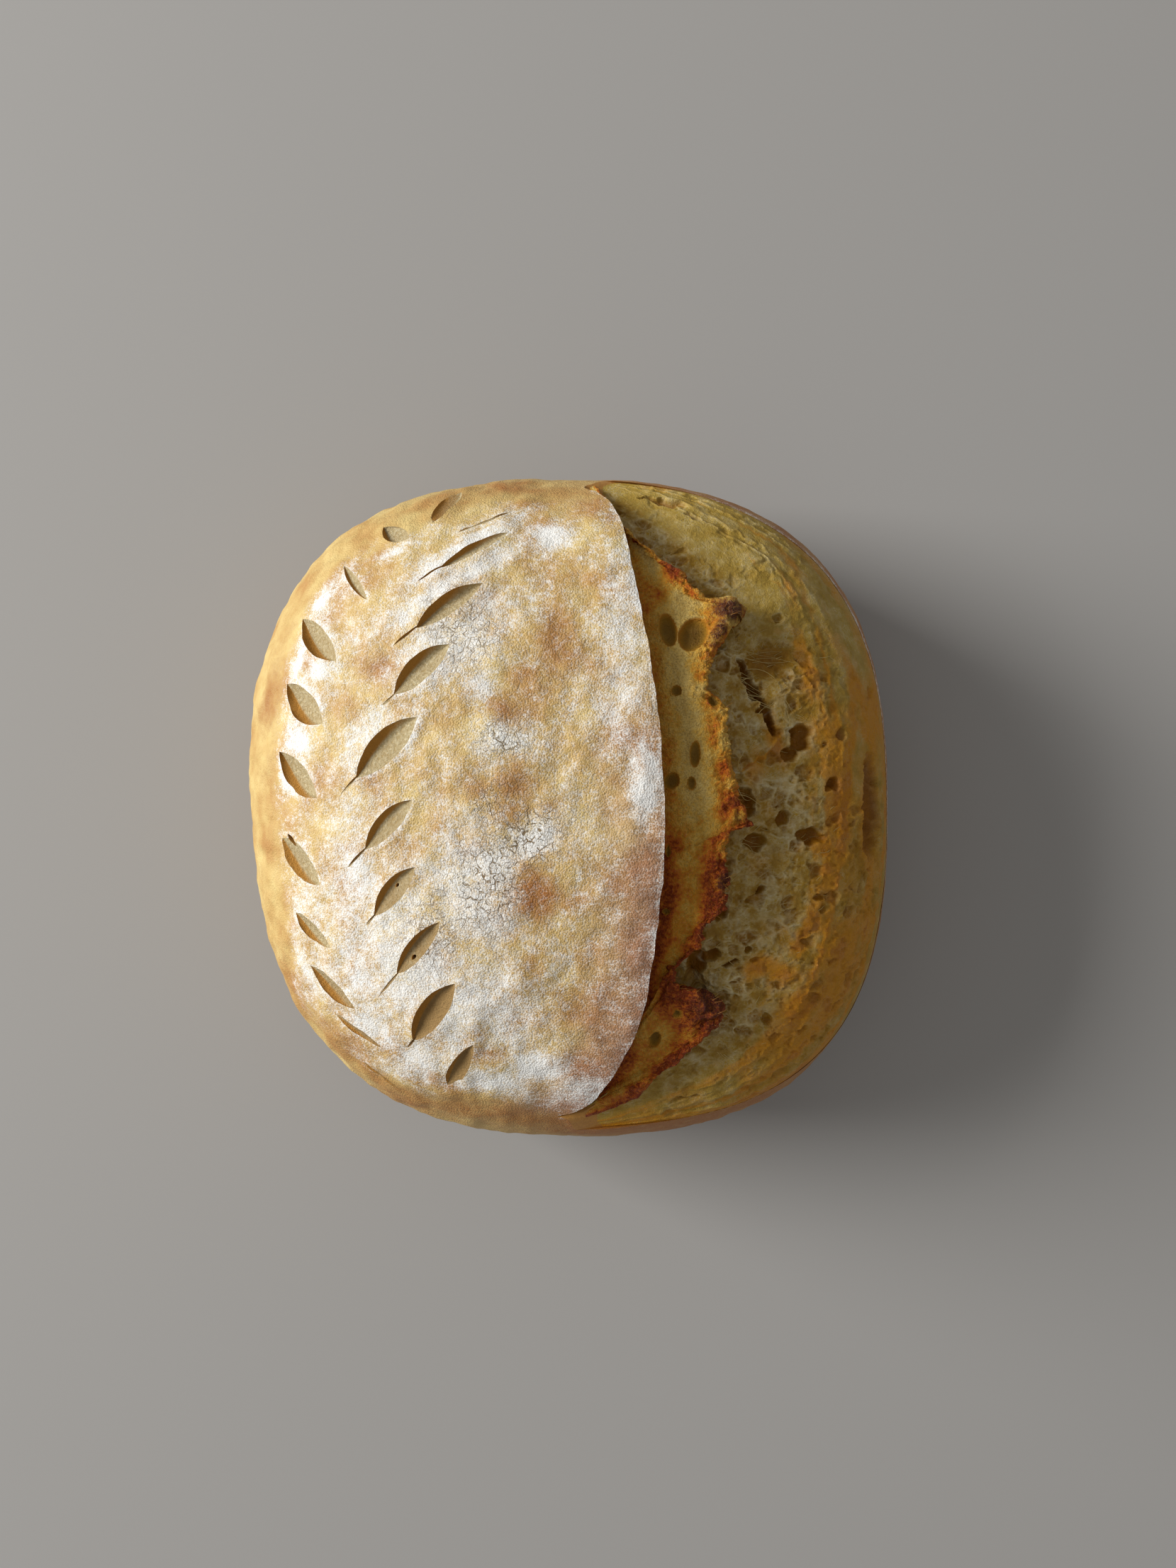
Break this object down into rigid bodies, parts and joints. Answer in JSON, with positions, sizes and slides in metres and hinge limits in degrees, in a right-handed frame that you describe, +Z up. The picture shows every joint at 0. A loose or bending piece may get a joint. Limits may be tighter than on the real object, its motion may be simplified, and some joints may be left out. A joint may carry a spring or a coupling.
{
  "type": "sourdough loaf",
  "caption": "Round sourdough loaf with a floured crust, a lifted ear over an open torn crumb, and two rows of leaf-shaped scoring cuts.",
  "frame": {"origin": "centre of the loaf's box at the level of its flat base", "axes": "+Z up through the crust, +Y along the ear, +X from the floured side to the torn side"},
  "size_m": [0.2207, 0.2268, 0.1087],
  "materials": {
    "crust": "matte baked crust dusted with flour"
  },
  "bodies": {
    "root": {"loaf": "crust"}
  },
  "joints": []
}
